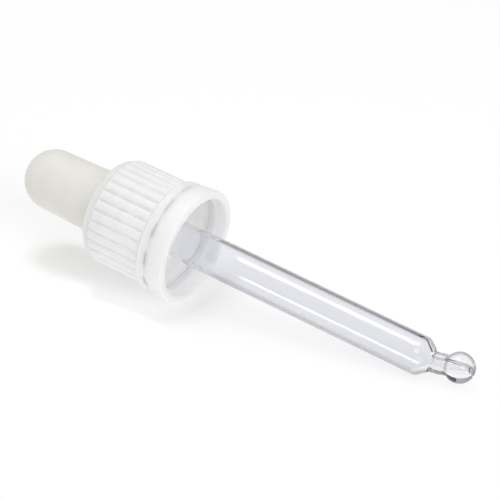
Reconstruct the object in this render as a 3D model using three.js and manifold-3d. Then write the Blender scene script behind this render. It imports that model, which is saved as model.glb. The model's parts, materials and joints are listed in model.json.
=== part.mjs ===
// A medicine dropper lying on its side: rubber teat, ribbed screw cap with a tamper-evident ring,
// and a glass pipette with a bent ball tip. Millimetres, +Z up.
//
// Every piece is made round the dropper's own axis, which is Y while it is being made. Y = 0 is the
// ring's mouth, where the bottle goes in. Positive Y runs to the tip and negative Y to the teat.
// The last section lays the dropper down: on the ring's mouth edge and the pipette's shoulder.

import * as THREE from 'three';
import { mergeVertices } from 'three/addons/utils/BufferGeometryUtils.js';
import Module from 'manifold-3d';

const wasm = await Module();
wasm.setup();

// ---- Driving dimensions ------------------------------------------------------------------------

const TURN = 2 * Math.PI;
const CLEARANCE = 0.08; // between pieces that touch or rub in the real object

const CAP_TOP_Y = -19.4;
const CAP_TOP_WALL = 1.5;
const CAP_SHOULDER_RADIUS = 2.2;
const CAP_VALLEY_R = 9.52; // smooth shoulder, and the floor between the ribs
const CAP_HOLE_R = 5.6;
const CAP_SEGMENTS = 60;

const RIB_COUNT = 30;
const RIB_CREST_R = 9.98;
const RIB_WIDTH = 1.74;
const RIB_PHASE = THREE.MathUtils.degToRad(4.2); // how far the ribs are turned round the cap
const RIB_START_Y = -17.3;
const RIB_END_Y = -6.3;
const RIB_END_SLOPE = 0.5;

const COLLAR_R = 10.6; // smooth band between the ribs and the slit
const COLLAR_START_Y = -5.7;
const SLIT_Y = -4.1; // middle of the slit between cap and tamper ring
const SLIT_HEIGHT = 0.32;

const THREAD_ROOT_R = 9.05; // fits an 18 mm neck, 3 mm pitch
const THREAD_CREST_R = 8.35;
const THREAD_PITCH = 3;
const THREAD_TURNS = 2;
const THREAD_START_Y = -14.2;
const THREAD_ROOT_WIDTH = 1.7;
const THREAD_CREST_WIDTH = 0.7;
const THREAD_STEPS_PER_TURN = 24;

const RING_BACK_R = 10.65;
const RING_MOUTH_R = 11;
const RING_EDGE_RADIUS = 0.8;
const RING_BORE_R = 9.4;
const RING_BEAD_R = 9.05; // snaps under the bead on the bottle's neck
const RING_BEAD_Y = -2.5;
const RING_SEGMENTS = 30;

const BRIDGE_COUNT = 12;
const BRIDGE_WIDTH = 3;
const BRIDGE_THICKNESS = 0.7;
const BRIDGE_INSET = 0.12; // from the ring's outer face
const BRIDGE_PHASE = THREE.MathUtils.degToRad(27);

const TEAT_FLANGE_R = 8.2;
const TEAT_FLANGE_THICKNESS = 1.4;
const TEAT_BASE_R = 6.2;
const TEAT_WAIST_R = 5.95;
const TEAT_DOME_R = 5.7;
const TEAT_DOME_Y = -31.85;
const TEAT_WALL = 1.3;
const TEAT_SOCKET_LENGTH = 4.6; // how much of the teat grips the glass
const TEAT_SEGMENTS = 30;

const TUBE_R = 3.55;
const TUBE_BORE_R = 2.9;
const TUBE_TOP_Y = -22.4;
const SHOULDER_Y = 47.4;
const SHOULDER_LENGTH = 2.3;
const SHOULDER_RADIUS = 1.2;
const NECK_R = 1.9;
const NECK_BORE_R = 0.7;
const NECK_BEND = THREE.MathUtils.degToRad(15);
const BALL_R = 2.8;
const BALL_DISTANCE = 5.4; // from the end of the shoulder to the ball's centre
const ORIFICE_FLAT = 0.3; // how much of the ball is ground away round the orifice
const TUBE_SEGMENTS = 24;

// ---- Making and combining solids ---------------------------------------------------------------

function toSolid(geometry) {
  const bare = geometry.clone();
  bare.deleteAttribute('normal');
  bare.deleteAttribute('uv');
  const merged = mergeVertices(bare, 1e-4);
  const vertProperties = new Float32Array(merged.attributes.position.array);
  const triVerts = new Uint32Array(merged.index.array);
  return new wasm.Manifold(new wasm.Mesh({ numProp: 3, vertProperties, triVerts }));
}

function toGeometry(solid) {
  const mesh = solid.getMesh();
  const geometry = new THREE.BufferGeometry();
  geometry.setAttribute('position', new THREE.BufferAttribute(mesh.vertProperties, 3));
  geometry.setIndex(new THREE.BufferAttribute(mesh.triVerts, 1));
  return geometry;
}

// A solid turned round Y from [radius, y] points. Its first corner is half a facet off straight
// down unless another start is given, so that a flat facet faces down.
function turned(profile, segments, start = Math.PI / segments) {
  const points = profile.map(([radius, y]) => new THREE.Vector2(radius, y));
  return new THREE.LatheGeometry(points, segments, start);
}

function closed(profile) {
  return [...profile, profile[0]];
}

// Points on an arc in the [radius, y] plane. Angles are in degrees, and 0 points away from the axis.
function arc(centreR, centreY, radius, fromDegrees, toDegrees, steps) {
  const points = [];
  for (let i = 0; i <= steps; i += 1) {
    const angle = THREE.MathUtils.degToRad(fromDegrees + (toDegrees - fromDegrees) * i / steps);
    points.push([centreR + radius * Math.cos(angle), centreY + radius * Math.sin(angle)]);
  }
  return points;
}

function named(name, geometry, material) {
  const mesh = new THREE.Mesh(geometry, material);
  mesh.name = name;
  return mesh;
}

// ---- Materials ---------------------------------------------------------------------------------

const capPlastic = new THREE.MeshStandardMaterial({ color: 0xf2f3f5, roughness: 0.45, metalness: 0 });
const ringPlastic = new THREE.MeshStandardMaterial({ color: 0xf4f4f5, roughness: 0.4, metalness: 0 });
const teatRubber = new THREE.MeshStandardMaterial({ color: 0xeae6df, roughness: 0.65, metalness: 0 });
const clearGlass = new THREE.MeshStandardMaterial({
  color: 0xe8eef2, roughness: 0.02, metalness: 0, transparent: true, opacity: 0.35,
});

// ---- Screw cap ---------------------------------------------------------------------------------

// The body's section: rounded shoulder, smooth skirt, and the wider collar that carries the ring.
function capBodySection() {
  const capEndY = SLIT_Y - SLIT_HEIGHT / 2;
  const shoulderY = CAP_TOP_Y + CAP_SHOULDER_RADIUS;
  const shoulderR = CAP_VALLEY_R - CAP_SHOULDER_RADIUS;
  return closed([
    [CAP_HOLE_R, CAP_TOP_Y],
    ...arc(shoulderR, shoulderY, CAP_SHOULDER_RADIUS, -90, 0, 5),
    [CAP_VALLEY_R, RIB_END_Y],
    [RIB_CREST_R, RIB_END_Y + 0.1],
    [COLLAR_R, COLLAR_START_Y],
    [COLLAR_R, capEndY],
    [RING_BORE_R, capEndY],
    [THREAD_ROOT_R, COLLAR_START_Y],
    [THREAD_ROOT_R, CAP_TOP_Y + CAP_TOP_WALL],
    [CAP_HOLE_R, CAP_TOP_Y + CAP_TOP_WALL],
  ]);
}

// All ribs as one fluted sleeve: half-round crests that meet in narrow valleys.
function ribbedSleeve() {
  const outline = [];
  const crestHeight = RIB_CREST_R - CAP_VALLEY_R;
  const halfAngle = RIB_WIDTH / 2 / CAP_VALLEY_R;
  const crestSteps = 4;
  for (let rib = 0; rib < RIB_COUNT; rib += 1) {
    const middle = TURN * rib / RIB_COUNT + RIB_PHASE;
    for (let step = 0; step <= crestSteps; step += 1) {
      const across = 2 * step / crestSteps - 1;
      const radius = CAP_VALLEY_R + crestHeight * Math.sqrt(1 - across * across);
      const angle = middle + halfAngle * across;
      outline.push(new THREE.Vector2(radius * Math.cos(angle), radius * Math.sin(angle)));
    }
  }
  const shape = new THREE.Shape(outline);
  const length = RIB_END_Y - RIB_START_Y;
  const sleeve = new THREE.ExtrudeGeometry(shape, { depth: length, bevelEnabled: false });
  sleeve.rotateX(-Math.PI / 2);
  sleeve.translate(0, RIB_START_Y, 0);
  return sleeve;
}

// What the ribs may fill: it slopes away at the shoulder end, so the ribs run out smoothly.
function ribEnvelope() {
  const rise = RIB_CREST_R - CAP_VALLEY_R + 0.05;
  return turned(closed([
    [THREAD_ROOT_R + 0.2, RIB_START_Y],
    [CAP_VALLEY_R, RIB_START_Y],
    [CAP_VALLEY_R + rise, RIB_START_Y + RIB_END_SLOPE],
    [CAP_VALLEY_R + rise, RIB_END_Y + 0.05],
    [THREAD_ROOT_R + 0.2, RIB_END_Y + 0.05],
  ]), CAP_SEGMENTS);
}

// One helical ridge inside the cap. Both ends sink into the wall over an eighth of a turn.
function threadRidge() {
  const steps = Math.round(THREAD_TURNS * THREAD_STEPS_PER_TURN);
  const rampSteps = THREAD_STEPS_PER_TURN / 8;
  const sunk = 0.15;
  const positions = [];
  for (let step = 0; step <= steps; step += 1) {
    const angle = TURN * step / THREAD_STEPS_PER_TURN;
    const middleY = THREAD_START_Y + THREAD_PITCH * step / THREAD_STEPS_PER_TURN;
    const ramp = Math.min(1, (step + 0.5) / rampSteps, (steps - step + 0.5) / rampSteps);
    const crestR = THREAD_ROOT_R - (THREAD_ROOT_R - THREAD_CREST_R) * ramp;
    const section = [
      [THREAD_ROOT_R + sunk, -THREAD_ROOT_WIDTH / 2],
      [crestR, -THREAD_CREST_WIDTH / 2],
      [crestR, THREAD_CREST_WIDTH / 2],
      [THREAD_ROOT_R + sunk, THREAD_ROOT_WIDTH / 2],
    ];
    for (const [radius, offset] of section) {
      positions.push(radius * Math.sin(angle), middleY + offset, radius * Math.cos(angle));
    }
  }
  const corners = 4;
  const index = [];
  for (let step = 0; step < steps; step += 1) {
    for (let corner = 0; corner < corners; corner += 1) {
      const a = step * corners + corner;
      const b = step * corners + (corner + 1) % corners;
      index.push(a, b, a + corners, b, b + corners, a + corners);
    }
  }
  const last = steps * corners;
  index.push(0, 2, 1, 0, 3, 2);
  index.push(last, last + 1, last + 2, last, last + 2, last + 3);
  const ridge = new THREE.BufferGeometry();
  ridge.setAttribute('position', new THREE.Float32BufferAttribute(positions, 3));
  ridge.setIndex(index);
  return ridge;
}

function screwCap() {
  const body = toSolid(turned(capBodySection(), CAP_SEGMENTS));
  const bore = toSolid(turned([
    [0, CAP_TOP_Y - 1],
    [THREAD_ROOT_R + 0.2, CAP_TOP_Y - 1],
    [THREAD_ROOT_R + 0.2, 1],
    [0, 1],
  ], CAP_SEGMENTS));
  const ribs = toSolid(ribbedSleeve()).intersect(toSolid(ribEnvelope())).subtract(bore);
  const solid = body.add(ribs).add(toSolid(threadRidge()));
  return named('screw_cap', toGeometry(solid), capPlastic);
}

// ---- Tamper-evident ring and its bridges -------------------------------------------------------

function tamperRing() {
  const backY = SLIT_Y + SLIT_HEIGHT / 2;
  const edgeR = RING_MOUTH_R - RING_EDGE_RADIUS;
  const beadHeight = RING_BORE_R - RING_BEAD_R;
  const section = closed([
    [RING_BORE_R, backY],
    [RING_BACK_R, backY],
    ...arc(edgeR, -RING_EDGE_RADIUS, RING_EDGE_RADIUS, 0, 90, 4),
    [RING_BORE_R, 0],
    [RING_BORE_R, RING_BEAD_Y + 1.2 * beadHeight],
    [RING_BEAD_R, RING_BEAD_Y + 0.3 * beadHeight],
    [RING_BEAD_R, RING_BEAD_Y - 0.3 * beadHeight],
    [RING_BORE_R, RING_BEAD_Y - beadHeight],
  ]);
  const cornerDown = 0;
  return named('tamper_ring', turned(section, RING_SEGMENTS, cornerDown), ringPlastic);
}

// A short arc of the ring's wall that stands in the slit.
function tamperBridge(number) {
  const height = SLIT_HEIGHT - 2 * CLEARANCE;
  const halfAngle = BRIDGE_WIDTH / 2 / RING_BACK_R;
  const outerR = RING_BACK_R - BRIDGE_INSET;
  const outline = new THREE.Shape();
  outline.absarc(0, 0, outerR, -halfAngle, halfAngle, false);
  outline.absarc(0, 0, outerR - BRIDGE_THICKNESS, halfAngle, -halfAngle, true);
  const bridge = new THREE.ExtrudeGeometry(outline, { depth: height, bevelEnabled: false, curveSegments: 4 });
  bridge.translate(0, 0, -height / 2);
  bridge.rotateX(-Math.PI / 2);
  const label = String(number + 1).padStart(2, '0');
  const mesh = named(`tamper_bridge_${label}`, bridge, ringPlastic.clone());
  mesh.position.set(0, SLIT_Y, 0);
  mesh.rotation.y = TURN * number / BRIDGE_COUNT + BRIDGE_PHASE;
  return mesh;
}

// ---- Rubber teat -------------------------------------------------------------------------------

function rubberTeat() {
  const flangeTopY = CAP_TOP_Y + CAP_TOP_WALL + CLEARANCE;
  const flangeEndY = flangeTopY + TEAT_FLANGE_THICKNESS;
  const neckR = CAP_HOLE_R - 2 * CLEARANCE;
  const baseY = CAP_TOP_Y - CLEARANCE;
  const socketR = TUBE_R + CLEARANCE;
  const socketTopY = flangeEndY - TEAT_SOCKET_LENGTH;
  const chamberR = TEAT_DOME_R - TEAT_WALL;
  const section = closed([
    [socketR, flangeEndY],
    [socketR, socketTopY],
    [chamberR, socketTopY - 1],
    ...arc(0, TEAT_DOME_Y, chamberR, 0, -90, 4),
    ...arc(0, TEAT_DOME_Y, TEAT_DOME_R, -90, 0, 6),
    [TEAT_WAIST_R, baseY - 1.3],
    [TEAT_BASE_R, baseY - 0.5],
    [TEAT_BASE_R, baseY],
    [neckR, baseY],
    [neckR, flangeTopY],
    [TEAT_FLANGE_R, flangeTopY],
    [TEAT_FLANGE_R, flangeEndY - 0.3],
    [TEAT_FLANGE_R - 0.3, flangeEndY],
  ]);
  return named('rubber_teat', turned(section, TEAT_SEGMENTS), teatRubber);
}

// ---- Glass pipette -----------------------------------------------------------------------------

// Straight tube and rounded shoulder, down to the neck. `inset` shrinks it to make the bore.
function tubeSection(inset, neckR) {
  const outerR = TUBE_R - inset;
  const neckY = SHOULDER_Y + SHOULDER_LENGTH;
  const round = SHOULDER_RADIUS - inset / 2;
  return [
    [0, TUBE_TOP_Y - inset],
    [outerR, TUBE_TOP_Y - inset],
    ...arc(outerR - round, SHOULDER_Y - inset / 2, round, 0, 60, 4),
    [neckR, neckY],
    [neckR, neckY + 0.6],
    [0, neckY + 0.6],
  ];
}

// The bent neck's centre line, from inside the shoulder to past the ball's centre.
function neckLine(extra) {
  const bendY = SHOULDER_Y + SHOULDER_LENGTH + 0.6;
  const along = new THREE.Vector3(0, Math.cos(NECK_BEND), Math.sin(NECK_BEND));
  const bend = new THREE.Vector3(0, bendY, 0);
  const line = new THREE.CurvePath();
  const before = new THREE.Vector3(0, bendY - 1.2, 0);
  const after = bend.clone().addScaledVector(along, 1.2);
  const end = ballCentre().addScaledVector(along, extra);
  line.add(new THREE.QuadraticBezierCurve3(before, bend, after));
  line.add(new THREE.LineCurve3(after, end));
  return line;
}

function ballCentre() {
  const bendY = SHOULDER_Y + SHOULDER_LENGTH + 0.6;
  const reach = BALL_DISTANCE - 0.6;
  return new THREE.Vector3(0, bendY + reach * Math.cos(NECK_BEND), reach * Math.sin(NECK_BEND));
}

function neckTube(radius, extra, segments) {
  const circle = new THREE.Shape();
  circle.absarc(0, 0, radius, 0, TURN, false);
  const options = { steps: 8, curveSegments: segments, extrudePath: neckLine(extra) };
  return new THREE.ExtrudeGeometry(circle, options);
}

function ballTip() {
  const flatR = Math.sqrt(BALL_R ** 2 - (BALL_R - ORIFICE_FLAT) ** 2);
  const flatAngle = THREE.MathUtils.radToDeg(Math.acos(flatR / BALL_R));
  const ball = turned([...arc(0, 0, BALL_R, -90, flatAngle, 9), [0, BALL_R - ORIFICE_FLAT]], 20);
  ball.rotateX(NECK_BEND);
  const centre = ballCentre();
  ball.translate(centre.x, centre.y, centre.z);
  return ball;
}

function glassPipette() {
  const outside = toSolid(turned(tubeSection(0, NECK_R), TUBE_SEGMENTS))
    .add(toSolid(neckTube(NECK_R, 0, 16)))
    .add(toSolid(ballTip()));
  const inside = toSolid(turned(tubeSection(TUBE_R - TUBE_BORE_R, NECK_BORE_R), TUBE_SEGMENTS))
    .add(toSolid(neckTube(NECK_BORE_R, BALL_R + 1, 8)));
  return named('glass_pipette', toGeometry(outside.subtract(inside)), clearGlass);
}

// ---- Assembly, laid on the surface -------------------------------------------------------------

const dropper = new THREE.Group();
dropper.add(screwCap(), tamperRing(), rubberTeat(), glassPipette());
for (let number = 0; number < BRIDGE_COUNT; number += 1) {
  dropper.add(tamperBridge(number));
}

// The dropper leans so that the ring's mouth edge and the pipette's shoulder touch the surface:
// the line that touches both rounded edges slopes by this angle against the axis.
const edgeToShoulder = SHOULDER_Y + RING_EDGE_RADIUS;
const drop = (RING_MOUTH_R - RING_EDGE_RADIUS) - (TUBE_R - SHOULDER_RADIUS);
const radiusChange = RING_EDGE_RADIUS - SHOULDER_RADIUS;
const lean = Math.atan2(drop, edgeToShoulder) + Math.asin(radiusChange / Math.hypot(drop, edgeToShoulder));

const leaning = new THREE.Group();
dropper.rotation.z = -Math.PI / 2;
leaning.add(dropper);
leaning.rotation.y = lean;

// The origin is at the middle of the dropper's footprint, on the surface.
const object = new THREE.Group();
object.add(leaning);
object.updateMatrixWorld(true);
const extent = new THREE.Box3().setFromObject(object, true);
const middle = extent.getCenter(new THREE.Vector3());
leaning.position.set(-middle.x, -middle.y, -extent.min.z);

export default object;
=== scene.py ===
# A medicine dropper lying on a pale surface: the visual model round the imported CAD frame.
import json
import math

import bpy
from mathutils import Matrix, Vector


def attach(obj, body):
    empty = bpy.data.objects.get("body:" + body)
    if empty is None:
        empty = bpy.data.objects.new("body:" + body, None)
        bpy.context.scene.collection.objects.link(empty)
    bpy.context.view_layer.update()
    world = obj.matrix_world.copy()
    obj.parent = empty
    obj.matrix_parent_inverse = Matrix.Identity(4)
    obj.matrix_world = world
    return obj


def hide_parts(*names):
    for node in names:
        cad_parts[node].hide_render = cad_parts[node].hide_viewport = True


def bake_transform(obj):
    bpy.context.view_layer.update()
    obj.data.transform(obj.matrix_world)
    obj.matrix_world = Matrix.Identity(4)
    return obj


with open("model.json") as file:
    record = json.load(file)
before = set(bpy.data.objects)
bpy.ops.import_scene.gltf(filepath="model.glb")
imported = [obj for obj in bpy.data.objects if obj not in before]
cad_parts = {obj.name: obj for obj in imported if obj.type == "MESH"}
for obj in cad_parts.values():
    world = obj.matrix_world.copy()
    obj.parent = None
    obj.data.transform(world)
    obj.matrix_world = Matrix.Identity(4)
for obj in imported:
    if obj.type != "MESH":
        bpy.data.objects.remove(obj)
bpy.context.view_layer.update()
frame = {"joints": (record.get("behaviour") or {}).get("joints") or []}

MM = 0.001
TURN = 2 * math.pi

# ---- The dropper's own axes ---------------------------------------------------------------------
# Places on the dropper are given in millimetres: `along` its axis from the tamper ring's mouth
# (positive towards the tip) and `radius` off the axis. Angles go round the axis, from straight up.

joints = {joint["name"]: joint for joint in frame["joints"]}
MOUTH = Vector(joints["cap_turn"]["pos_m"])
ALONG = Vector(joints["cap_turn"]["axis"]).normalized()
SIDE = Vector((0, 1, 0))
UPWARD = ALONG.cross(SIDE)


def at(along, side=0.0, upward=0.0):
    """A point of the row frame, in metres, from millimetres in the dropper's own axes."""
    return MOUTH + (ALONG * along + SIDE * side + UPWARD * upward) * MM


def around(along, radius, angle):
    return at(along, -radius * math.sin(angle), radius * math.cos(angle))


# ---- Dimensions in millimetres ------------------------------------------------------------------
# Lengths and radii are the CAD model's to within 0.1 mm, but for the slit.

CAP_TOP = -19.4
CAP_TOP_WALL = 1.5
CAP_SHOULDER_RADIUS = 2.2
CAP_VALLEY_R = 9.52
CAP_HOLE_R = 5.6
RIB_COUNT = 30
RIB_PHASE = math.radians(10.2)
RIB_CREST_R = 9.98
RIB_WIDTH = 1.74
RIB_START = -17.4
RIB_END = -6.35
COLLAR_R = 10.6
COLLAR_START = -5.7
SLIT = -4.1
SLIT_HEIGHT = 0.16       # half the CAD slit, which has to keep its solids apart
THREAD_ROOT_R = 9.05
THREAD_CREST_R = 8.35
THREAD_PITCH = 3.0
THREAD_TURNS = 2.0
THREAD_START = -14.2
THREAD_ROOT_WIDTH = 1.7
THREAD_CREST_WIDTH = 0.7

RING_BACK_R = 10.65
RING_MOUTH_R = 11.0
RING_EDGE_RADIUS = 0.8
RING_BORE_R = 9.4
RING_BEAD_R = 9.05
RING_BEAD = -2.5
BRIDGE_COUNT = 12
BRIDGE_WIDTH = 3.0
BRIDGE_PHASE = math.radians(27)

TEAT_FLANGE_R = 8.2
TEAT_FLANGE_TOP = -17.82
TEAT_FLANGE_END = -16.42
TEAT_NECK_R = 5.44
TEAT_BASE = -19.48
TEAT_BASE_R = 6.2
TEAT_WAIST_R = 5.95
TEAT_DOME_R = 5.7
TEAT_DOME = -31.85
TEAT_CHAMBER_R = 4.4
TEAT_SOCKET_R = 3.63
TEAT_SOCKET_TOP = -21.0

TUBE_R = 3.55
TUBE_BORE_R = 2.9
TUBE_TOP = -22.4
SHOULDER = 47.4
SHOULDER_LENGTH = 2.3
NECK_R = 1.9
NECK_BORE_R = 0.7
NECK_BEND = math.radians(15)
BALL_R = 2.8
BALL_DISTANCE = 5.4


# ---- Outlines -----------------------------------------------------------------------------------

def filleted(corners, steps=6, is_closed=False):
    """Points of a path with rounded corners. Each corner is (along, radius, fillet radius)."""
    points = []
    count = len(corners)
    for i, (x, y, fillet) in enumerate(corners):
        here = Vector((x, y))
        is_end = not is_closed and i in (0, count - 1)
        if fillet == 0 or is_end:
            points.append((x, y))
            continue
        before = Vector(corners[i - 1][:2]) - here
        after = Vector(corners[(i + 1) % count][:2]) - here
        half = before.angle(after) / 2
        reach = min(fillet / math.tan(half), 0.49 * before.length, 0.49 * after.length)
        radius = reach * math.tan(half)
        centre = here + (before.normalized() + after.normalized()).normalized() * radius / math.sin(half)
        first = here + before.normalized() * reach - centre
        last = here + after.normalized() * reach - centre
        sweep = math.atan2(first.x * last.y - first.y * last.x, first.dot(last))
        for step in range(steps + 1):
            angle = sweep * step / steps
            spoke = Vector((
                first.x * math.cos(angle) - first.y * math.sin(angle),
                first.x * math.sin(angle) + first.y * math.cos(angle),
            ))
            points.append(tuple(centre + spoke))
    return points


def arc(centre_along, centre_radius, radius, start, stop, steps):
    """Points on an arc. Angles are in degrees, and 0 points along the axis towards the tip."""
    points = []
    for step in range(steps + 1):
        angle = math.radians(start + (stop - start) * step / steps)
        points.append((centre_along + radius * math.cos(angle), centre_radius + radius * math.sin(angle)))
    return points


def smooth_step(value, low, high):
    t = min(max((value - low) / (high - low), 0.0), 1.0)
    return t * t * (3 - 2 * t)


# ---- Making meshes ------------------------------------------------------------------------------

def finish_mesh(name, vertices, faces, sharp_degrees=40):
    mesh = bpy.data.meshes.new(name)
    mesh.from_pydata(vertices, [], faces)
    mesh.validate()
    mesh.update()
    mesh.shade_smooth()
    mesh.set_sharp_from_angle(angle=math.radians(sharp_degrees))
    piece = bpy.data.objects.new(name, mesh)
    bpy.context.scene.collection.objects.link(piece)
    return piece


def swept(name, row_count, columns, point, loop=True, poles=()):
    """A closed skin from rows of points: point(row, column) gives each one. A row in `poles` is a
    single point, and `loop` joins the last row to the first."""
    vertices = []
    starts = []
    for row in range(row_count):
        starts.append(len(vertices))
        if row in poles:
            vertices.append(point(row, 0))
        else:
            vertices.extend(point(row, column) for column in range(columns))
    faces = []
    for row in range(row_count if loop else row_count - 1):
        following = (row + 1) % row_count
        for column in range(columns):
            beside = (column + 1) % columns
            a, b = starts[row] + column, starts[row] + beside
            c, d = starts[following] + beside, starts[following] + column
            if row in poles:
                faces.append((starts[row], c, d))
            elif following in poles:
                faces.append((a, b, starts[following]))
            else:
                faces.append((a, b, c, d))
    return finish_mesh(name, vertices, faces)


def turned(name, profile, columns=192):
    """A ring turned round the dropper's axis from a closed profile of (along, radius) points."""
    def point(row, column):
        along, radius = profile[row]
        return around(along, radius, TURN * column / columns)
    return swept(name, len(profile), columns, point)


# ---- Materials ----------------------------------------------------------------------------------

def new_material(name):
    material = bpy.data.materials.new(name)
    material.use_nodes = True
    tree = material.node_tree
    shader = tree.nodes["Principled BSDF"]
    return material, tree, shader


def object_noise(tree, scale, detail=3.0, roughness=0.55, stretch=None):
    """Noise fixed to the piece. Scale is in features for each metre."""
    place = tree.nodes.new("ShaderNodeTexCoord")
    noise = tree.nodes.new("ShaderNodeTexNoise")
    noise.inputs["Scale"].default_value = scale
    noise.inputs["Detail"].default_value = detail
    noise.inputs["Roughness"].default_value = roughness
    if stretch is None:
        tree.links.new(place.outputs["Object"], noise.inputs["Vector"])
    else:
        mapping = tree.nodes.new("ShaderNodeMapping")
        mapping.inputs["Rotation"].default_value = (0, -math.asin(-ALONG.z), 0)
        mapping.inputs["Scale"].default_value = stretch
        tree.links.new(place.outputs["Object"], mapping.inputs["Vector"])
        tree.links.new(mapping.outputs["Vector"], noise.inputs["Vector"])
    return noise.outputs["Fac"]


def ramp(tree, value, stops):
    node = tree.nodes.new("ShaderNodeValToRGB")
    while len(node.color_ramp.elements) < len(stops):
        node.color_ramp.elements.new(0.5)
    for element, (position, colour) in zip(node.color_ramp.elements, sorted(stops)):
        element.position = position
        element.color = (*colour, 1)
    tree.links.new(value, node.inputs["Fac"])
    return node.outputs["Color"]


def value_range(tree, value, low, high):
    node = tree.nodes.new("ShaderNodeMapRange")
    node.inputs["From Min"].default_value = 0.3
    node.inputs["From Max"].default_value = 0.7
    node.inputs["To Min"].default_value = low
    node.inputs["To Max"].default_value = high
    tree.links.new(value, node.inputs["Value"])
    return node.outputs["Result"]


def bump(tree, shader, height, strength, distance):
    node = tree.nodes.new("ShaderNodeBump")
    node.inputs["Strength"].default_value = strength
    node.inputs["Distance"].default_value = distance
    tree.links.new(height, node.inputs["Height"])
    tree.links.new(node.outputs["Normal"], shader.inputs["Normal"])


def let_light_through(tree, shader, kinds_of_ray, share, colour):
    """Lets a share of the light through each surface, without the bending that a render can't trace
    to a small lamp. The kinds of ray are outputs of the Light Path node."""
    light_path = tree.nodes.new("ShaderNodeLightPath")
    passing = light_path.outputs[kinds_of_ray[0]]
    for kind in kinds_of_ray[1:]:
        either = tree.nodes.new("ShaderNodeMath")
        either.operation = "MAXIMUM"
        tree.links.new(passing, either.inputs[0])
        tree.links.new(light_path.outputs[kind], either.inputs[1])
        passing = either.outputs["Value"]
    if share < 1:
        part = tree.nodes.new("ShaderNodeMath")
        part.operation = "MULTIPLY"
        part.inputs[1].default_value = share
        tree.links.new(passing, part.inputs[0])
        passing = part.outputs["Value"]
    clear = tree.nodes.new("ShaderNodeBsdfTransparent")
    clear.inputs["Color"].default_value = (*colour, 1)
    mix = tree.nodes.new("ShaderNodeMixShader")
    tree.links.new(passing, mix.inputs["Fac"])
    tree.links.new(shader.outputs["BSDF"], mix.inputs[1])
    tree.links.new(clear.outputs["BSDF"], mix.inputs[2])
    tree.links.new(mix.outputs["Shader"], tree.nodes["Material Output"].inputs["Surface"])


def plastic(name, light, dark, roughness, grain):
    """Moulded white polypropylene: faintly cloudy, with a fine satin grain. Its walls are thin, so
    some light comes through them."""
    material, tree, shader = new_material(name)
    cloud = object_noise(tree, 260.0)
    tree.links.new(ramp(tree, cloud, [(0.3, dark), (0.7, light)]), shader.inputs["Base Color"])
    fine = object_noise(tree, 5200.0, detail=2.0)
    tree.links.new(value_range(tree, fine, roughness - 0.05, roughness + 0.06), shader.inputs["Roughness"])
    bump(tree, shader, fine, grain, 0.00003)
    shader.inputs["IOR"].default_value = 1.49
    shader.inputs["Subsurface Weight"].default_value = 1.0
    shader.inputs["Subsurface Radius"].default_value = (0.003, 0.003, 0.003)
    shader.inputs["Subsurface Scale"].default_value = 1.0
    let_light_through(tree, shader, ["Is Shadow Ray"], 0.6, (1, 1, 1))
    return material


def rubber(name):
    """Off-white silicone rubber: warm, matt, a little translucent, with a fine skin."""
    material, tree, shader = new_material(name)
    cloud = object_noise(tree, 190.0, detail=4.0)
    tone = ramp(tree, cloud, [(0.3, (0.79, 0.77, 0.725)), (0.7, (0.83, 0.815, 0.775))])
    tree.links.new(tone, shader.inputs["Base Color"])
    fine = object_noise(tree, 3600.0, detail=3.0)
    tree.links.new(value_range(tree, fine, 0.5, 0.66), shader.inputs["Roughness"])
    bump(tree, shader, fine, 0.18, 0.00004)
    shader.inputs["IOR"].default_value = 1.43
    shader.inputs["Subsurface Weight"].default_value = 0.4
    shader.inputs["Subsurface Radius"].default_value = (0.0024, 0.0021, 0.0017)
    shader.inputs["Subsurface Scale"].default_value = 1.0
    shader.inputs["Sheen Weight"].default_value = 0.1
    shader.inputs["Sheen Roughness"].default_value = 0.5
    return material


GLASS_TONE = 0.895
IN_CAP_PAINTED_LIGHT_TONE = 0.98      # painted light: the glass is clearer deep in the cap, which lightens the cap's inside seen through it


def glass_tint(tone):
    return (tone, tone * 1.005, tone * 1.035)


def out_of_the_cap(tree):
    """0 on what is deep in the cap, and 1 on what is well out of the ring's mouth. It places the glass's
    painted lighter tone in the cap.
    """
    place = tree.nodes.new("ShaderNodeTexCoord")
    along = tree.nodes.new("ShaderNodeVectorMath")
    along.operation = "DOT_PRODUCT"
    along.inputs[1].default_value = ALONG
    tree.links.new(place.outputs["Object"], along.inputs[0])
    share = tree.nodes.new("ShaderNodeMapRange")
    share.interpolation_type = "SMOOTHSTEP"
    share.inputs["From Min"].default_value = MOUTH.dot(ALONG) - 4 * MM
    share.inputs["From Max"].default_value = MOUTH.dot(ALONG) + 9 * MM
    tree.links.new(along.outputs["Value"], share.inputs["Value"])
    return share.outputs["Result"]


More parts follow.
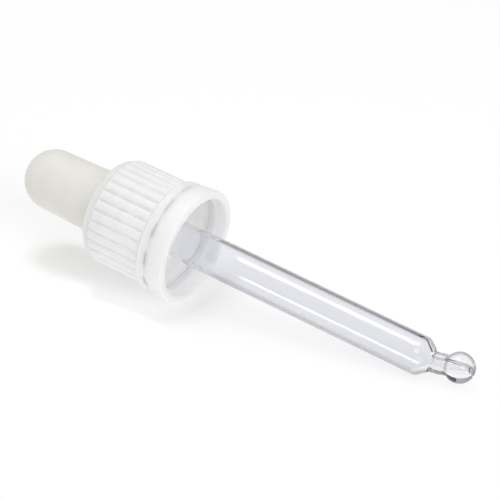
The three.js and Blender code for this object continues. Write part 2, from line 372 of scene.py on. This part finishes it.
def glass(name, painted_edge_shades=()):
    """Clear drawn glass: faint draw lines run along the tube. The painted edge shades darken its colour by
    how far
    the surface turns away from the eye, as (turned away, tone): painted shade in place of the dark
    surroundings seen in the edges. Deep in the cap its colour is painted lighter."""
    material, tree, shader = new_material(name)
    lines = object_noise(tree, 700.0, detail=2.0, stretch=(0.03, 1.0, 1.0))
    bump(tree, shader, lines, 0.06, 0.00002)
    tree.links.new(value_range(tree, lines, 0.0, 0.012), shader.inputs["Roughness"])
    # The glass's colour: its tint out of the cap, and a painted lighter tone deep in the cap.
    tint_with_painted_light_and_shade = tree.nodes.new("ShaderNodeMix")
    tint_with_painted_light_and_shade.data_type = "RGBA"
    tint_with_painted_light_and_shade.inputs["A"].default_value = (*glass_tint(IN_CAP_PAINTED_LIGHT_TONE), 1)
    tint_with_painted_light_and_shade.inputs["B"].default_value = (*glass_tint(GLASS_TONE), 1)
    # Painted shade: the colour darkens where the surface turns away from the eye.
    stops = [(turned_away, glass_tint(tone)) for turned_away, tone in painted_edge_shades]
    if stops:
        edge = tree.nodes.new("ShaderNodeLayerWeight")
        edge.inputs["Blend"].default_value = 0.5
        tree.links.new(ramp(tree, edge.outputs["Facing"], stops), tint_with_painted_light_and_shade.inputs["B"])
    tree.links.new(out_of_the_cap(tree), tint_with_painted_light_and_shade.inputs["Factor"])
    tree.links.new(tint_with_painted_light_and_shade.outputs["Result"], shader.inputs["Base Color"])
    shader.inputs["IOR"].default_value = 1.5
    shader.inputs["Transmission Weight"].default_value = 1.0
    let_light_through(tree, shader, ["Is Shadow Ray", "Is Diffuse Ray"], 1.0, (0.95, 0.95, 0.955))
    return material


cap_plastic = plastic("cap_plastic", (0.925, 0.928, 0.937), (0.907, 0.911, 0.923), 0.42, 0.25)
ring_plastic = plastic("ring_plastic", (0.925, 0.926, 0.932), (0.91, 0.911, 0.918), 0.36, 0.16)
teat_rubber = rubber("teat_rubber")
# Painted shade: the outer glass darkens towards its edges.
pipette_glass = glass("pipette_glass", [(0.33, GLASS_TONE), (0.42, 0.62), (0.5, 0.4), (0.65, 0.3)])
# The bore has no painted edge shade, but it too is painted lighter deep in the cap.
pipette_bore = glass("pipette_bore")


def place_piece(piece, body, material, slot, *nodes):
    """Gives a piece its body and its finish, and hides the CAD nodes that it stands for."""
    piece.data.materials.append(material)
    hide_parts(*nodes)
    if body is not None:
        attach(piece, body)
    return piece


# ---- Screw cap ----------------------------------------------------------------------------------

def rib_height(along, angle):
    """How far the ribs stand off the valley floor: half-round across, with rounded ends."""
    pitch = TURN / RIB_COUNT
    across = (((angle - RIB_PHASE) / pitch + 0.5) % 1.0 - 0.5) * pitch * CAP_VALLEY_R
    half_width = RIB_WIDTH / 2
    if abs(across) >= half_width:
        return 0.0
    end_round = 0.55
    from_end = min(along - RIB_START, RIB_END - along)
    if from_end <= 0:
        return 0.0
    run_out = min(from_end / end_round, 1.0)
    end_shape = math.sqrt(1 - (1 - run_out) ** 2)
    round_shape = math.sqrt(1 - (across / half_width) ** 2)
    return (RIB_CREST_R - CAP_VALLEY_R) * round_shape * end_shape


def thread_height(along, angle):
    """How far the screw thread stands in from the cap's wall."""
    turns_from_start = (along - THREAD_START) / THREAD_PITCH - angle / TURN
    nearest = round(turns_from_start)
    offset = abs(turns_from_start - nearest) * THREAD_PITCH
    turn = nearest + angle / TURN
    ramp_length = 0.125
    end_ramp = min(turn, THREAD_TURNS - turn) / ramp_length
    if end_ramp <= 0:
        return 0.0
    flank = 1 - smooth_step(offset, THREAD_CREST_WIDTH / 2, THREAD_ROOT_WIDTH / 2)
    return (THREAD_ROOT_R - THREAD_CREST_R) * min(end_ramp, 1.0) * flank


def evenly(start, stop, step):
    count = max(1, round(abs(stop - start) / step))
    return [start + (stop - start) * i / count for i in range(count + 1)]


HOLE_EDGE_ROUND = 0.25
COLLAR_FOOT_GAP = 0.2        # from the ribs' ends to the foot of the collar's slope
COLLAR_FOOT_ROUND = 0.15
COLLAR_BROW_ROUND = 0.22
COLLAR_SLOPE_LEAD = 0.05     # how far the slope's upper end lies before the collar's start
CAP_END_ROUND = 0.05
CAP_MOUTH_ROUND = 0.1
INNER_CORNER_ROUND = 0.3
THREAD_LEAD_IN = 0.8         # plain wall between the collar and the thread's close rows
THREAD_RUN_OUT = 1.4         # those rows go on this far past the thread's start
CAP_INNER_STEP = 0.4         # from the hole's edge to the next row of the ceiling
RIB_END_REACH = 0.6          # the part of a rib that its rounded end needs close rows on
RIB_END_ROW = 0.06
RIB_MIDDLE_ROW = 1.6
THREAD_ROW = 0.16


def cap_profile():
    """The cap's section as (along, radius, what stands on it), from the hole round and back."""
    inner_top = CAP_TOP + CAP_TOP_WALL
    cap_end = SLIT - SLIT_HEIGHT / 2
    thread_end = COLLAR_START - THREAD_LEAD_IN
    thread_top = THREAD_START - THREAD_RUN_OUT
    # The last corner only gives the shoulder's fillet room for its whole radius.
    top = filleted([
        (inner_top, CAP_HOLE_R, 0),
        (CAP_TOP, CAP_HOLE_R, HOLE_EDGE_ROUND),
        (CAP_TOP, CAP_VALLEY_R, CAP_SHOULDER_RADIUS),
        (CAP_TOP + 3 * CAP_SHOULDER_RADIUS, CAP_VALLEY_R, 0),
    ], steps=24)[:-1]
    shoulder_end = CAP_TOP + CAP_SHOULDER_RADIUS
    rib_rows = evenly(shoulder_end, RIB_START + RIB_END_REACH, RIB_END_ROW)[1:]
    rib_rows += evenly(RIB_START + RIB_END_REACH, RIB_END - RIB_END_REACH, RIB_MIDDLE_ROW)[1:]
    rib_rows += evenly(RIB_END - RIB_END_REACH, RIB_END, RIB_END_ROW)[1:]
    lip = filleted([
        (RIB_END, CAP_VALLEY_R, 0),
        (RIB_END + COLLAR_FOOT_GAP, CAP_VALLEY_R, COLLAR_FOOT_ROUND),
        (COLLAR_START - COLLAR_SLOPE_LEAD, COLLAR_R, COLLAR_BROW_ROUND),
        (cap_end, COLLAR_R, CAP_END_ROUND),
        (cap_end, RING_BORE_R, CAP_MOUTH_ROUND),
        (COLLAR_START, THREAD_ROOT_R, INNER_CORNER_ROUND),
        (thread_end, THREAD_ROOT_R, 0),
    ], steps=5)[1:]
    thread_rows = evenly(thread_end, thread_top, THREAD_ROW)[1:]
    back = filleted([
        (thread_top, THREAD_ROOT_R, 0),
        (inner_top, THREAD_ROOT_R, INNER_CORNER_ROUND),
        (inner_top, CAP_HOLE_R + CAP_INNER_STEP, 0),
    ], steps=5)[1:]
    profile = [(along, radius, "rib" if along > RIB_START else "") for along, radius in top]
    profile += [(along, CAP_VALLEY_R, "rib") for along in rib_rows]
    profile += [(along, radius, "") for along, radius in lip]
    profile += [(along, THREAD_ROOT_R, "thread") for along in thread_rows]
    profile += [(along, radius, "") for along, radius in back]
    return profile


def screw_cap():
    profile = cap_profile()
    columns_per_rib = 18
    columns = RIB_COUNT * columns_per_rib

    def point(row, column):
        angle = TURN * column / columns
        along, radius, stands_on = profile[row]
        if stands_on == "rib":
            radius += rib_height(along, angle)
        elif stands_on == "thread":
            radius -= thread_height(along, angle)
        return around(along, radius, angle)

    piece = swept("ribbed_screw_cap", len(profile), columns, point)
    return place_piece(piece, "cap", cap_plastic, "cap_plastic", "screw_cap")


# ---- Tamper ring and its bridges ----------------------------------------------------------------

RING_BACK_ROUND = 0.07
RING_BAND_LENGTH = 0.75      # the back of the ring is nearly straight for this far
RING_BAND_RISE = 0.1
RING_BAND_ROUND = 0.5
RING_MOUTH_ROUND = 0.35
RING_BEAD_LEAD = 0.6         # the bead's long slope, on the mouth's side
RING_BEAD_HOOK = 0.5         # and its short one
RING_INNER_ROUND = 0.1


def tamper_ring():
    back = SLIT + SLIT_HEIGHT / 2
    profile = filleted([
        (back, RING_BACK_R, RING_BACK_ROUND),
        (back + RING_BAND_LENGTH, RING_BACK_R + RING_BAND_RISE, RING_BAND_ROUND),
        (0, RING_MOUTH_R, RING_EDGE_RADIUS),
        (0, RING_BORE_R, RING_MOUTH_ROUND),
        (RING_BEAD + RING_BEAD_LEAD, RING_BORE_R, 0.25),
        (RING_BEAD, RING_BEAD_R, 0.3),
        (RING_BEAD - RING_BEAD_HOOK, RING_BORE_R, 0.2),
        (back, RING_BORE_R, RING_INNER_ROUND),
    ], steps=8, is_closed=True)
    piece = turned("tamper_evident_ring", profile, columns=224)
    return place_piece(piece, "ring", ring_plastic, "ring_plastic", "tamper_ring")


def tamper_bridge(number):
    """A small curved web across the slit, thinner in its middle, where it tears."""
    name = f"tamper_bridge_{number + 1:02d}"
    middle = TURN * number / BRIDGE_COUNT + BRIDGE_PHASE + TURN / 4
    half_width = BRIDGE_WIDTH / 2 / RING_BACK_R
    overlap = 0.05           # reaches this far into the cap and into the ring
    slit_start = SLIT - SLIT_HEIGHT / 2 - overlap
    slit_stop = SLIT + SLIT_HEIGHT / 2 + overlap
    outer = RING_BACK_R - 0.06
    outer_at_waist = RING_BACK_R - 0.14
    inner = RING_BORE_R + 0.35
    corner_round = 0.05
    section = filleted([
        (slit_start, outer, corner_round),
        (SLIT, outer_at_waist, 2 * corner_round),
        (slit_stop, outer, corner_round),
        (slit_stop, inner, corner_round),
        (slit_start, inner, corner_round),
    ], steps=3, is_closed=True)
    end_rounding = 0.08
    waist_narrowing = 0.12
    slices = 12
    vertices = []
    for i in range(slices + 1):
        across = 2 * i / slices - 1
        rounding = end_rounding * across ** 8
        for along, radius in section:
            from_slit = abs(along - SLIT) / (SLIT_HEIGHT / 2 + overlap)
            waist = 1 - waist_narrowing * (1 - from_slit)
            angle = middle - half_width * across * waist
            vertices.append(around(along, radius - rounding, angle))
    size = len(section)
    faces = [tuple(range(size - 1, -1, -1)), tuple(slices * size + k for k in range(size))]
    for i in range(slices):
        for k in range(size):
            beside = (k + 1) % size
            first, second = i * size, (i + 1) * size
            faces.append((first + k, first + beside, second + beside, second + k))
    piece = finish_mesh(f"moulded_{name}", vertices, faces)
    return place_piece(piece, "cap", ring_plastic, "ring_plastic", name)


# ---- Rubber teat --------------------------------------------------------------------------------

def rubber_teat():
    outside = arc(TEAT_DOME, 0, TEAT_DOME_R, 180, 92, 28)
    side = []
    for along in evenly(TEAT_DOME + 0.4, TEAT_BASE - 1.5, 0.6):
        share = smooth_step(along, TEAT_DOME, TEAT_BASE - 0.5)
        side.append((along, TEAT_DOME_R + (TEAT_WAIST_R - TEAT_DOME_R) * share))
    base = filleted([
        (TEAT_BASE - 1.4, TEAT_WAIST_R - 0.01, 0),
        (TEAT_BASE - 0.75, TEAT_WAIST_R + 0.02, 0.7),
        (TEAT_BASE - 0.3, TEAT_BASE_R, 0.3),
        (TEAT_BASE, TEAT_BASE_R, 0.15),
        (TEAT_BASE, TEAT_NECK_R, 0.1),
        (TEAT_FLANGE_TOP, TEAT_NECK_R, 0.2),
        (TEAT_FLANGE_TOP, TEAT_FLANGE_R, 0.3),
        (TEAT_FLANGE_END, TEAT_FLANGE_R, 0.45),
        (TEAT_FLANGE_END, TEAT_SOCKET_R, 0.25),
        (TEAT_SOCKET_TOP, TEAT_SOCKET_R, 0.2),
        (TEAT_SOCKET_TOP - 1, TEAT_CHAMBER_R, 0.4),
        (TEAT_DOME, TEAT_CHAMBER_R, 0),
    ], steps=6)
    inside = arc(TEAT_DOME, 0, TEAT_CHAMBER_R, 96, 180, 16)
    profile = outside + side + base + inside
    columns = 144
    last = len(profile) - 1

    def point(row, column):
        along, radius = profile[row]
        return around(along, max(radius, 0.0), TURN * column / columns)

    piece = swept("soft_rubber_teat", len(profile), columns, point, loop=False, poles=(0, last))
    place_piece(piece, None, teat_rubber, "teat_rubber", "rubber_teat")
    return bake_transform(piece)


# ---- Glass pipette ------------------------------------------------------------------------------

BEND_START = SHOULDER + SHOULDER_LENGTH - 0.5
BEND_RADIUS = 7.0
BEND_LENGTH = BEND_RADIUS * NECK_BEND
BALL_CENTRE = SHOULDER + SHOULDER_LENGTH + BALL_DISTANCE
LONGEST_STEP = 1.0           # between rows along the pipette


def pipette_point(length, radius, angle):
    """A point on the pipette: `length` runs along its centre line, which bends up at the neck."""
    if length <= BEND_START:
        return around(length, radius, angle)
    turn = min((length - BEND_START) / BEND_RADIUS, NECK_BEND)
    beyond = max(0.0, length - BEND_START - BEND_LENGTH)
    along = BEND_START + BEND_RADIUS * math.sin(turn) + beyond * math.cos(turn)
    upward = BEND_RADIUS * (1 - math.cos(turn)) + beyond * math.sin(turn)
    off_axis = radius * math.cos(angle)
    return at(
        along - off_axis * math.sin(turn),
        -radius * math.sin(angle),
        upward + off_axis * math.cos(turn),
    )


def divided(points, longest):
    """The same path with its long straight stretches cut into steps."""
    result = [points[0]]
    for start, stop in zip(points, points[1:]):
        count = max(1, math.ceil(math.dist(start, stop) / longest))
        for i in range(1, count + 1):
            share = i / count
            result.append(tuple(a + (b - a) * share for a, b in zip(start, stop)))
    return result


def glass_pipette():
    shoulder_end = SHOULDER + SHOULDER_LENGTH
    neck_meets_ball = 180 - math.degrees(math.asin(NECK_R / BALL_R))
    orifice_edge = math.degrees(math.asin((NECK_BORE_R + 0.35) / BALL_R))
    outside = filleted([
        (TUBE_TOP, TUBE_R, 0),
        (SHOULDER + 0.25, TUBE_R, 1.0),
        (shoulder_end, NECK_R, 0.7),
        (BALL_CENTRE - BALL_R * math.cos(math.radians(180 - neck_meets_ball)) - 0.3, NECK_R, 0),
    ], steps=14)
    ball = arc(BALL_CENTRE, 0, BALL_R, neck_meets_ball - 6, orifice_edge, 36)
    tip = ball[-1][0]
    inside = filleted([
        (tip + 0.02, NECK_BORE_R + 0.3, 0),
        (tip - 0.05, NECK_BORE_R, 0.25),
        (shoulder_end - 0.1, NECK_BORE_R, 0.8),
        (SHOULDER - 0.3, TUBE_BORE_R, 1.4),
        (TUBE_TOP, TUBE_BORE_R, 0),
    ], steps=12)
    top_radius = (TUBE_R + TUBE_BORE_R) / 2
    top = arc(TUBE_TOP, top_radius, (TUBE_R - TUBE_BORE_R) / 2, 270, 90, 8)[1:-1]
    outside = divided(outside, LONGEST_STEP) + ball
    profile = outside + divided(inside, LONGEST_STEP) + top
    columns = 128

    def point(row, column):
        length, radius = profile[row]
        return pipette_point(length, radius, TURN * column / columns)

    piece = swept("bent_tip_glass_pipette", len(profile), columns, point)
    place_piece(piece, "pipette", pipette_glass, "pipette_glass", "glass_pipette")
    piece.data.materials.append(pipette_bore)
    for index, face in enumerate(piece.data.polygons):
        if index // columns >= len(outside):
            face.material_index = 1
    return piece


screw_cap()
tamper_ring()
for bridge_number in range(BRIDGE_COUNT):
    tamper_bridge(bridge_number)
rubber_teat()
glass_pipette()


# ---- Surface, light and camera ------------------------------------------------------------------

def white_surface():
    """A wide pale sheet under the dropper."""
    half = 3.0               # metres
    corners = [(-half, -half, 0), (half, -half, 0), (half, half, 0), (-half, half, 0)]
    floor = finish_mesh("pale_surface", corners, [(0, 1, 2, 3)])
    material, tree, shader = new_material("pale_surface")
    shader.inputs["Base Color"].default_value = (0.93, 0.93, 0.93, 1)
    shader.inputs["Roughness"].default_value = 0.9
    shader.inputs["Specular IOR Level"].default_value = 0.0
    shader.inputs["Emission Color"].default_value = (1, 1, 1, 1)
    shader.inputs["Emission Strength"].default_value = 0.12
    floor.data.materials.append(material)


def facing_ramp(tree, direction, stops):
    """A tone for each direction of the sky, by its angle in degrees from the given direction."""
    place = tree.nodes.new("ShaderNodeTexCoord")
    likeness = tree.nodes.new("ShaderNodeVectorMath")
    likeness.operation = "DOT_PRODUCT"
    likeness.inputs[1].default_value = Vector(direction).normalized()
    tree.links.new(place.outputs["Generated"], likeness.inputs[0])
    return ramp(tree, likeness.outputs["Value"], [
        (math.cos(math.radians(angle)), (tone, tone, tone)) for angle, tone in stops
    ])


def product(tree, first, second):
    node = tree.nodes.new("ShaderNodeMix")
    node.data_type = "RGBA"
    node.blend_type = "MULTIPLY"
    node.inputs["Factor"].default_value = 1.0
    tree.links.new(first, node.inputs["A"])
    tree.links.new(second, node.inputs["B"])
    return node.outputs["Result"]


CARD_DIRECTION = (0.1, 0.97, 0.15)
CARD_EDGE = 24.8             # degrees from the card's middle to where it is quite dark
CARD_SOFT_EDGE = 26.0        # and to where the bright studio begins
CARD_TONE = 0.02


def studio_sky():
    """A studio that dims towards the horizon. A dark card at the back draws the glass's edges."""
    world = bpy.data.worlds.new("studio")
    bpy.context.scene.world = world
    world.use_nodes = True
    tree = world.node_tree
    background = tree.nodes["Background"]
    overhead = facing_ramp(tree, (0, 0, 1), [(90, 0.36), (0, 0.93)])
    black_card = facing_ramp(tree, CARD_DIRECTION, [
        (90, 1.0),
        (CARD_SOFT_EDGE, 1.0),
        (CARD_EDGE, CARD_TONE),
        (0, CARD_TONE),
    ])
    tones = product(tree, overhead, black_card)
    tree.links.new(tones, background.inputs["Color"])
    background.inputs["Strength"].default_value = 1.0
    seen = tree.nodes.new("ShaderNodeBackground")
    seen.inputs["Color"].default_value = (0.9, 0.9, 0.9, 1)
    light_path = tree.nodes.new("ShaderNodeLightPath")
    mix = tree.nodes.new("ShaderNodeMixShader")
    tree.links.new(light_path.outputs["Is Camera Ray"], mix.inputs["Fac"])
    tree.links.new(background.outputs["Background"], mix.inputs[1])
    tree.links.new(seen.outputs["Background"], mix.inputs[2])
    tree.links.new(mix.outputs["Shader"], tree.nodes["World Output"].inputs["Surface"])


def soft_light(name, direction, distance, size, strength):
    """A white rectangular lamp that faces the ring's mouth. Strength is in watts."""
    light = bpy.data.lights.new(name, "AREA")
    light.shape = "RECTANGLE"
    light.size, light.size_y = size
    light.energy = strength
    lamp = bpy.data.objects.new(name, light)
    bpy.context.scene.collection.objects.link(lamp)
    towards = Vector(direction).normalized()
    across = ALONG.cross(towards).normalized()
    turn = Matrix((across, towards.cross(across), towards)).transposed().to_4x4()
    lamp.matrix_world = Matrix.Translation(MOUTH + towards * distance) @ turn


VIEW_AZIMUTH = math.radians(34.49)
VIEW_ELEVATION = math.radians(27.2)
VIEW_DISTANCE = 0.5          # metres
VIEW_LENS = 200.9            # millimetres, on a 36 mm sensor
VIEW_TO_THE_RIGHT = 9.54     # the camera aims this far from the ring's mouth, in millimetres
VIEW_DOWN = 0.34


def camera():
    """A long lens looking down on the dropper from its tip's side."""
    towards_camera = Vector((
        math.sin(VIEW_AZIMUTH) * math.cos(VIEW_ELEVATION),
        -math.cos(VIEW_AZIMUTH) * math.cos(VIEW_ELEVATION),
        math.sin(VIEW_ELEVATION),
    ))
    right = Vector((math.cos(VIEW_AZIMUTH), math.sin(VIEW_AZIMUTH), 0))
    up = towards_camera.cross(right)
    data = bpy.data.cameras.new("camera")
    data.lens = VIEW_LENS
    data.sensor_width = 36
    data.clip_start = 0.01
    data.clip_end = 20
    eye = bpy.data.objects.new("camera", data)
    bpy.context.scene.collection.objects.link(eye)
    target = MOUTH + right * VIEW_TO_THE_RIGHT * MM - up * VIEW_DOWN * MM
    backward = (towards_camera * VIEW_DISTANCE + MOUTH - target).normalized()
    across = up.cross(backward).normalized()
    turn = Matrix((across, backward.cross(across), backward)).transposed().to_4x4()
    eye.matrix_world = Matrix.Translation(MOUTH + towards_camera * VIEW_DISTANCE) @ turn
    bpy.context.scene.camera = eye


white_surface()
studio_sky()
soft_light(
    "overhead_softbox",
    direction=UPWARD * 0.963 - ALONG * 0.27,
    distance=0.8,
    size=(0.17, 0.23),
    strength=1.05,
)
soft_light(
    "front_softbox",
    direction=(1.0, -0.57, 0.62),
    distance=0.8,
    size=(0.3, 0.3),
    strength=1.15,
)
camera()

scene = bpy.context.scene
scene.view_settings.view_transform = "Standard"
scene.cycles.use_denoising = True
scene.cycles.caustics_reflective = False
scene.cycles.caustics_refractive = False
scene.cycles.max_bounces = 24
scene.cycles.diffuse_bounces = 12
scene.cycles.transparent_max_bounces = 24
scene.cycles.transmission_bounces = 24
scene.cycles.glossy_bounces = 12
